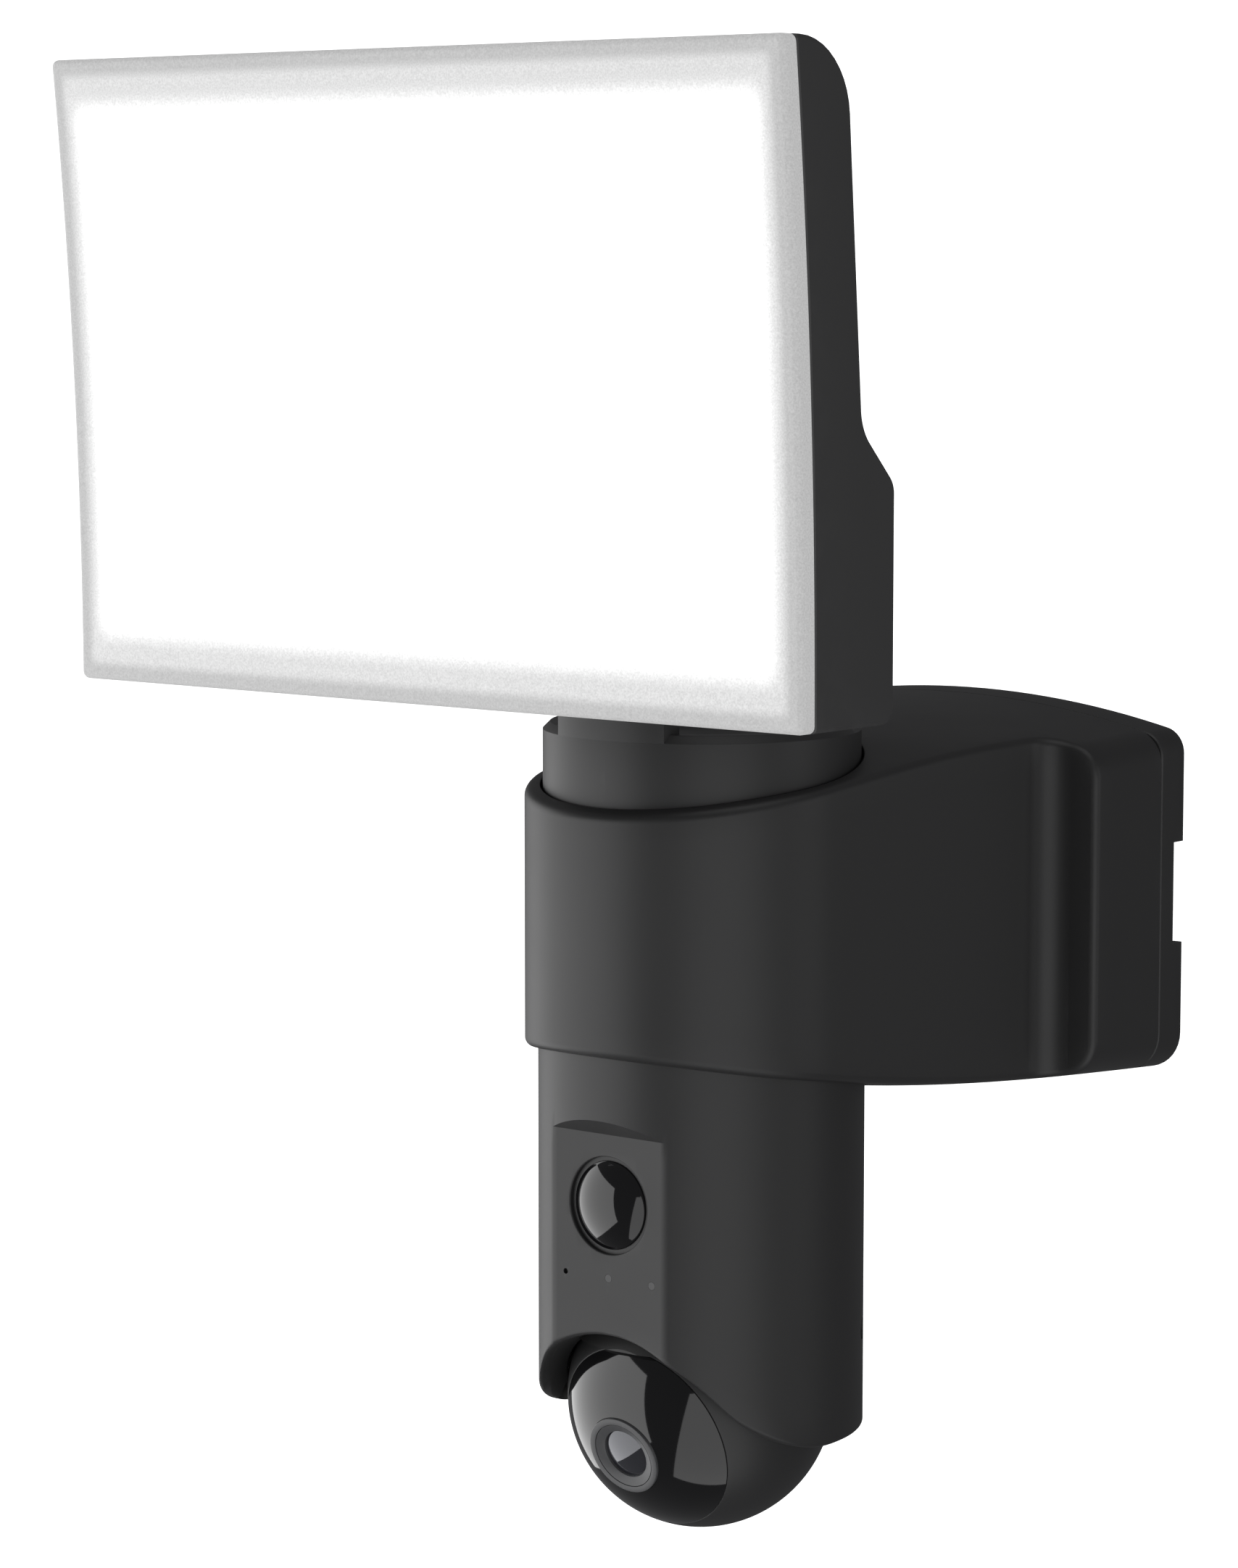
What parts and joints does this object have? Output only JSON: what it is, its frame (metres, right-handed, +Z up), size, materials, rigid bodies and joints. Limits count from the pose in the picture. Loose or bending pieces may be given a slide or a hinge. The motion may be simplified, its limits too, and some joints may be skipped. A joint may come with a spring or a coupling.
{
  "type": "floodlight security camera",
  "caption": "Wall-mounted floodlight with a tilting, swivelling lamp panel above an arm and a motorised camera head with a tilting ball below it.",
  "frame": {"origin": "on the wall plane, at the middle of the four wall screw holes", "axes": "+X to the right seen from in front, +Y into the wall, +Z up"},
  "size_m": [0.2, 0.2092, 0.3308],
  "materials": {
    "black_shell": "fine moulded texture, matt black",
    "lamp_shell": "fine moulded texture, dark grey black",
    "sensor_face": "smooth matt black",
    "gloss_black": "polished black",
    "diffuser": "lit opal diffuser",
    "lens_grey": "satin mid grey",
    "dark_glass": "coated camera glass",
    "white_plastic": "white moulded",
    "natural_plastic": "natural nylon",
    "green_board": "printed circuit board",
    "white_board": "white solder mask on aluminium",
    "rubber_black": "soft black rubber",
    "foam_grey": "closed-cell foam",
    "steel": "zinc plated",
    "aluminium": "sheet",
    "phosphor": "yellow phosphor",
    "black_part": "moulded component body",
    "capacitor_sleeve": "shrink sleeve",
    "transformer_tape": "wound tape and ferrite",
    "light_pipe": "smoked light guide"
  },
  "bodies": {
    "root": {"arm_housing": "black_shell", "wall_plate": "black_shell", "wall_gasket": "foam_grey", "cable_grommet": "rubber_black", "terminal_block": "white_plastic", "terminal_screws": "steel", "driver_board": "green_board", "board_screws": "steel", "transformer": "transformer_tape", "smoothing_capacitors": "capacitor_sleeve", "lock_screws": "steel", "pan_motor": "steel", "pan_motor_screws": "steel", "swivel_clamp_ring": "natural_plastic", "swivel_screws": "steel", "friction_washer": "natural_plastic"},
    "lamp_swivel": {"swivel_drum": "black_shell", "drum_cap": "black_part", "swivel_seal": "rubber_black", "tilt_bolt": "steel", "tilt_nut": "steel"},
    "lamp_head": {"lamp_housing": "lamp_shell", "lamp_lens": "diffuser", "lens_gasket": "rubber_black", "heat_spreader": "aluminium", "led_board": "white_board", "led_chips": "phosphor", "reflector_frame": "white_plastic", "lamp_screws": "steel", "friction_discs": "natural_plastic"},
    "camera_head": {"head_shell": "black_shell", "ball_socket": "black_part", "pan_hub": "natural_plastic", "pan_gear": "natural_plastic", "hub_screws": "steel", "pan_nut": "natural_plastic", "pir_lens": "gloss_black", "pir_board": "green_board", "pir_sensor": "steel", "microphone": "black_part", "light_pipes": "light_pipe", "main_board": "green_board", "processor": "aluminium", "board_frame": "natural_plastic", "speaker": "black_part", "tilt_motor": "steel", "side_screws": "steel", "tilt_belt": "rubber_black", "reset_switch": "black_part"},
    "camera_ball": {"ball_front": "gloss_black", "ball_rear": "black_shell", "lens_bezel": "lens_grey", "lens_window": "dark_glass", "lens_barrel": "black_part", "image_sensor_board": "green_board", "pivot_pins": "steel", "ball_pulley": "natural_plastic"},
    "pan_pinion": {"pan_pinion": "natural_plastic"},
    "tilt_pulley": {"tilt_pulley": "natural_plastic"},
    "reset_button": {"reset_button": "rubber_black"}
  },
  "joints": [
    {"name": "lamp_pan", "type": "hinge", "parent": "root", "child": "lamp_swivel", "pos_m": [0, -0.106, 0.03], "axis": [0, 0, 1], "range_deg": [-75, 75]},
    {"name": "lamp_tilt", "type": "hinge", "parent": "lamp_swivel", "child": "lamp_head", "pos_m": [0, -0.157, 0.069], "axis": [1, 0, 0], "range_deg": [-20, 50]},
    {"name": "camera_pan", "type": "hinge", "parent": "root", "child": "camera_head", "pos_m": [0, -0.106, -0.02], "axis": [0, 0, 1], "range_deg": [-170, 170]},
    {"name": "camera_tilt", "type": "hinge", "parent": "camera_head", "child": "camera_ball", "pos_m": [0, -0.106, -0.1096], "axis": [1, 0, 0], "range_deg": [-28, 72]},
    {"name": "pan_pinion_spin", "type": "hinge", "parent": "root", "child": "pan_pinion", "pos_m": [0, -0.077, -0.0145], "axis": [0, 0, 1], "range_deg": [-820, 820]},
    {"name": "tilt_pulley_spin", "type": "hinge", "parent": "camera_head", "child": "tilt_pulley", "pos_m": [-0.0316, -0.106, -0.066], "axis": [1, 0, 0], "range_deg": [-60, 150]},
    {"name": "reset_press", "type": "slide", "parent": "camera_head", "child": "reset_button", "axis": [0, -1, 0], "range_m": [0, 0.0009], "stiffness_N_per_m": 300}
  ],
  "couplings": [
    {"joint": "pan_pinion_spin", "follows": "camera_pan", "ratio": -4.8},
    {"joint": "tilt_pulley_spin", "follows": "camera_tilt", "ratio": 2}
  ]
}
